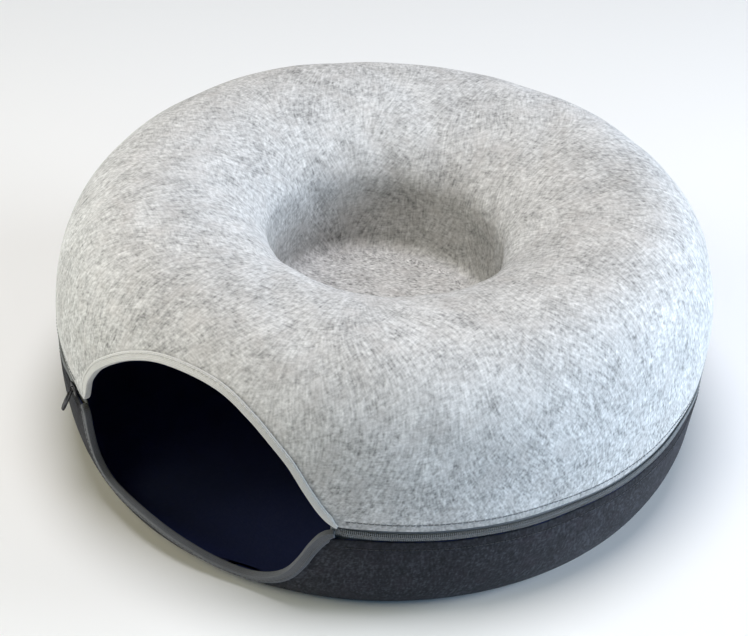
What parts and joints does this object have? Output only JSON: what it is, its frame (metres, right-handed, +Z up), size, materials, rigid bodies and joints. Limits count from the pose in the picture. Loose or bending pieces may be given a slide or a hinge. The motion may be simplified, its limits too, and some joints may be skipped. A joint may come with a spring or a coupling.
{
  "type": "ring-shaped felt cat cave",
  "caption": "Ring-shaped felt pet cave: light moulded top with a central well, zipped to a dark dish, with an arched entrance.",
  "frame": {"origin": "middle of the flat base, on the surface it rests on", "axes": "+Z up; the entrance faces -Y; +X to the right when looking into the entrance"},
  "size_m": [0.5, 0.4918, 0.205],
  "materials": {
    "light_felt": "matt heathered felt",
    "charcoal_felt": "matt mottled felt",
    "light_tape": "woven binding tape",
    "grey_tape": "woven tape",
    "grey_coil": "satin nylon teeth",
    "dark_metal": "satin dark metal"
  },
  "bodies": {
    "root": {"top_shell": "light_felt", "bottom_shell": "charcoal_felt", "arch_binding": "light_tape", "scoop_binding": "grey_tape", "zip_tape_upper": "grey_tape", "zip_tape_lower": "grey_tape", "zip_coil_upper": "grey_coil", "zip_coil_lower": "grey_coil", "zip_slider": "dark_metal", "zip_pull": "dark_metal"}
  },
  "joints": []
}
